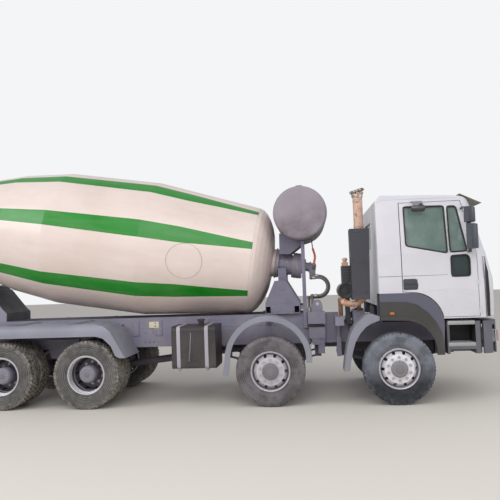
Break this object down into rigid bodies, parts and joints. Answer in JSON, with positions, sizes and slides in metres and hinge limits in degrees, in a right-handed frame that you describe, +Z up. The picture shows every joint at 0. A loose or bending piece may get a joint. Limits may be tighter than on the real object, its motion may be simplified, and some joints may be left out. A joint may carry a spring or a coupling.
{
  "type": "concrete mixer truck",
  "caption": "Four-axle rigid truck with a tilting day cab, revolving concrete drum, charging hopper, water tank and swivelling discharge chute.",
  "frame": {"origin": "on the floor, at the middle of the length and on the centre line", "axes": "+X to the truck's front, +Y to its left, +Z up"},
  "size_m": [9.645, 3.02, 3.935],
  "materials": {
    "chassis_paint": "semi-gloss paint, dusty",
    "axle_steel": "cast and forged, oily and dusty",
    "tank_black": "satin paint",
    "guard_grey": "semi-gloss paint",
    "dark_plastic": "moulded, fine grain",
    "lamp_glass": "clear moulded lens",
    "exhaust_steel": "heat-stained, rusty",
    "gearbox_paint": "satin paint",
    "water_tank_paint": "satin paint",
    "hose_rubber": "matte",
    "cab_paint": "gloss enamel",
    "cab_glass": "clear, light green tint",
    "visor_plastic": "smoked, dusty",
    "interior_plastic": "moulded",
    "mirror_black": "moulded",
    "drum_paint": "gloss enamel, with green bands",
    "roller_steel": "turned",
    "rim_paint": "gloss enamel, dusty",
    "tyre_rubber": "muddy rubber"
  },
  "bodies": {
    "chassis": {"ladder_frame": "chassis_paint", "mixer_subframe": "chassis_paint", "steer_axles": "axle_steel", "drive_axles": "axle_steel", "engine_block": "axle_steel", "fuel_tank": "tank_black", "chassis_fittings": "chassis_paint", "front_guards": "guard_grey", "rear_guards": "guard_grey", "bumper_steps": "dark_plastic", "lamps": "lamp_glass", "exhaust_pipe": "exhaust_steel", "air_intake": "dark_plastic", "front_pedestal": "chassis_paint", "drum_gearbox": "gearbox_paint", "water_tank": "water_tank_paint", "hydraulic_hoses": "hose_rubber", "rear_pedestal": "chassis_paint", "hopper": "chassis_paint", "discharge_funnel": "chassis_paint", "ladder": "chassis_paint", "rear_bumper": "chassis_paint"},
    "cab": {"cab_shell": "cab_paint", "cab_glass": "cab_glass", "sun_visor": "visor_plastic", "arch_trims": "dark_plastic", "cab_interior": "interior_plastic"},
    "front_panel": {"front_panel": "cab_paint"},
    "door_right": {"door_right": "cab_paint", "door_glass_right": "cab_glass", "mirror_right": "mirror_black"},
    "door_left": {"door_left": "cab_paint", "door_glass_left": "cab_glass", "mirror_left": "mirror_black"},
    "drum": {"drum": "drum_paint"},
    "roller_right": {"roller_right": "roller_steel"},
    "roller_left": {"roller_left": "roller_steel"},
    "chute_turret": {"chute_turret": "chassis_paint"},
    "main_chute": {"main_chute": "chassis_paint"},
    "chute_extension": {"chute_extension": "chassis_paint"},
    "knuckle_1_right": {"knuckle_1_right": "axle_steel"},
    "wheel_1_right": {"rim_1_right": "rim_paint", "tyre_1_right": "tyre_rubber"},
    "knuckle_2_right": {"knuckle_2_right": "axle_steel"},
    "wheel_2_right": {"rim_2_right": "rim_paint", "tyre_2_right": "tyre_rubber"},
    "wheel_3_right": {"rims_3_right": "rim_paint", "tyres_3_right": "tyre_rubber"},
    "wheel_4_right": {"rims_4_right": "rim_paint", "tyres_4_right": "tyre_rubber"},
    "knuckle_1_left": {"knuckle_1_left": "axle_steel"},
    "wheel_1_left": {"rim_1_left": "rim_paint", "tyre_1_left": "tyre_rubber"},
    "knuckle_2_left": {"knuckle_2_left": "axle_steel"},
    "wheel_2_left": {"rim_2_left": "rim_paint", "tyre_2_left": "tyre_rubber"},
    "wheel_3_left": {"rims_3_left": "rim_paint", "tyres_3_left": "tyre_rubber"},
    "wheel_4_left": {"rims_4_left": "rim_paint", "tyres_4_left": "tyre_rubber"}
  },
  "joints": [
    {"name": "steer_1_right", "type": "hinge", "parent": "chassis", "child": "knuckle_1_right", "pos_m": [3.3675, -0.905, 0.525], "axis": [0, 0, 1], "range_deg": [-32, 32]},
    {"name": "wheel_1_right_spin", "type": "hinge", "parent": "knuckle_1_right", "child": "wheel_1_right", "pos_m": [3.3675, -1.085, 0.525], "axis": [0, 1, 0], "continuous": true},
    {"name": "steer_2_right", "type": "hinge", "parent": "chassis", "child": "knuckle_2_right", "pos_m": [1.4775, -0.905, 0.525], "axis": [0, 0, 1], "range_deg": [-20.8, 20.8]},
    {"name": "wheel_2_right_spin", "type": "hinge", "parent": "knuckle_2_right", "child": "wheel_2_right", "pos_m": [1.4775, -1.085, 0.525], "axis": [0, 1, 0], "continuous": true},
    {"name": "wheel_3_right_spin", "type": "hinge", "parent": "chassis", "child": "wheel_3_right", "pos_m": [-1.3725, -1.085, 0.525], "axis": [0, 1, 0], "continuous": true},
    {"name": "wheel_4_right_spin", "type": "hinge", "parent": "chassis", "child": "wheel_4_right", "pos_m": [-2.7525, -1.085, 0.525], "axis": [0, 1, 0], "continuous": true},
    {"name": "steer_1_left", "type": "hinge", "parent": "chassis", "child": "knuckle_1_left", "pos_m": [3.3675, 0.905, 0.525], "axis": [0, 0, 1], "range_deg": [-32, 32]},
    {"name": "wheel_1_left_spin", "type": "hinge", "parent": "knuckle_1_left", "child": "wheel_1_left", "pos_m": [3.3675, 1.085, 0.525], "axis": [0, 1, 0], "continuous": true},
    {"name": "steer_2_left", "type": "hinge", "parent": "chassis", "child": "knuckle_2_left", "pos_m": [1.4775, 0.905, 0.525], "axis": [0, 0, 1], "range_deg": [-20.8, 20.8]},
    {"name": "wheel_2_left_spin", "type": "hinge", "parent": "knuckle_2_left", "child": "wheel_2_left", "pos_m": [1.4775, 1.085, 0.525], "axis": [0, 1, 0], "continuous": true},
    {"name": "wheel_3_left_spin", "type": "hinge", "parent": "chassis", "child": "wheel_3_left", "pos_m": [-1.3725, 1.085, 0.525], "axis": [0, 1, 0], "continuous": true},
    {"name": "wheel_4_left_spin", "type": "hinge", "parent": "chassis", "child": "wheel_4_left", "pos_m": [-2.7525, 1.085, 0.525], "axis": [0, 1, 0], "continuous": true},
    {"name": "drum_spin", "type": "hinge", "parent": "chassis", "child": "drum", "pos_m": [1.5515, 0, 2.177], "axis": [-0.9877, 0, 0.1564], "continuous": true},
    {"name": "roller_right_spin", "type": "hinge", "parent": "chassis", "child": "roller_right", "pos_m": [-3.8222, -0.4723, 2.1288], "axis": [-0.9877, 0, 0.1564], "continuous": true},
    {"name": "roller_left_spin", "type": "hinge", "parent": "chassis", "child": "roller_left", "pos_m": [-3.8222, 0.4723, 2.1288], "axis": [-0.9877, 0, 0.1564], "continuous": true},
    {"name": "cab_tilt", "type": "hinge", "parent": "chassis", "child": "cab", "pos_m": [4.6725, 0, 0.98], "axis": [0, 1, 0], "range_deg": [0, 50]},
    {"name": "door_right_swing", "type": "hinge", "parent": "cab", "child": "door_right", "pos_m": [4.543, -1.241, 1.9], "axis": [0, 0, 1], "range_deg": [0, 70]},
    {"name": "door_left_swing", "type": "hinge", "parent": "cab", "child": "door_left", "pos_m": [4.543, 1.241, 1.9], "axis": [0, 0, -1], "range_deg": [0, 70]},
    {"name": "front_panel_lift", "type": "hinge", "parent": "cab", "child": "front_panel", "pos_m": [4.7565, 0, 2.126], "axis": [0, -1, 0], "range_deg": [0, 75]},
    {"name": "chute_swivel", "type": "hinge", "parent": "chassis", "child": "chute_turret", "pos_m": [-4.4825, 0, 1.65], "axis": [0, 0, 1], "range_deg": [0, 180]},
    {"name": "chute_tilt", "type": "hinge", "parent": "chute_turret", "child": "main_chute", "pos_m": [-4.4825, 0, 1.65], "axis": [-1, 0, 0], "range_deg": [0, 30]},
    {"name": "chute_fold", "type": "hinge", "parent": "main_chute", "child": "chute_extension", "pos_m": [-4.4825, 1.1646, 1.6938], "axis": [-1, 0, 0], "range_deg": [0, 180]}
  ],
  "couplings": [
    {"joint": "steer_2_right", "follows": "steer_1_right", "ratio": 0.65},
    {"joint": "steer_1_left", "follows": "steer_1_right", "ratio": 1},
    {"joint": "steer_2_left", "follows": "steer_1_right", "ratio": 0.65},
    {"joint": "roller_right_spin", "follows": "drum_spin", "ratio": -7.04},
    {"joint": "roller_left_spin", "follows": "drum_spin", "ratio": -7.04}
  ]
}
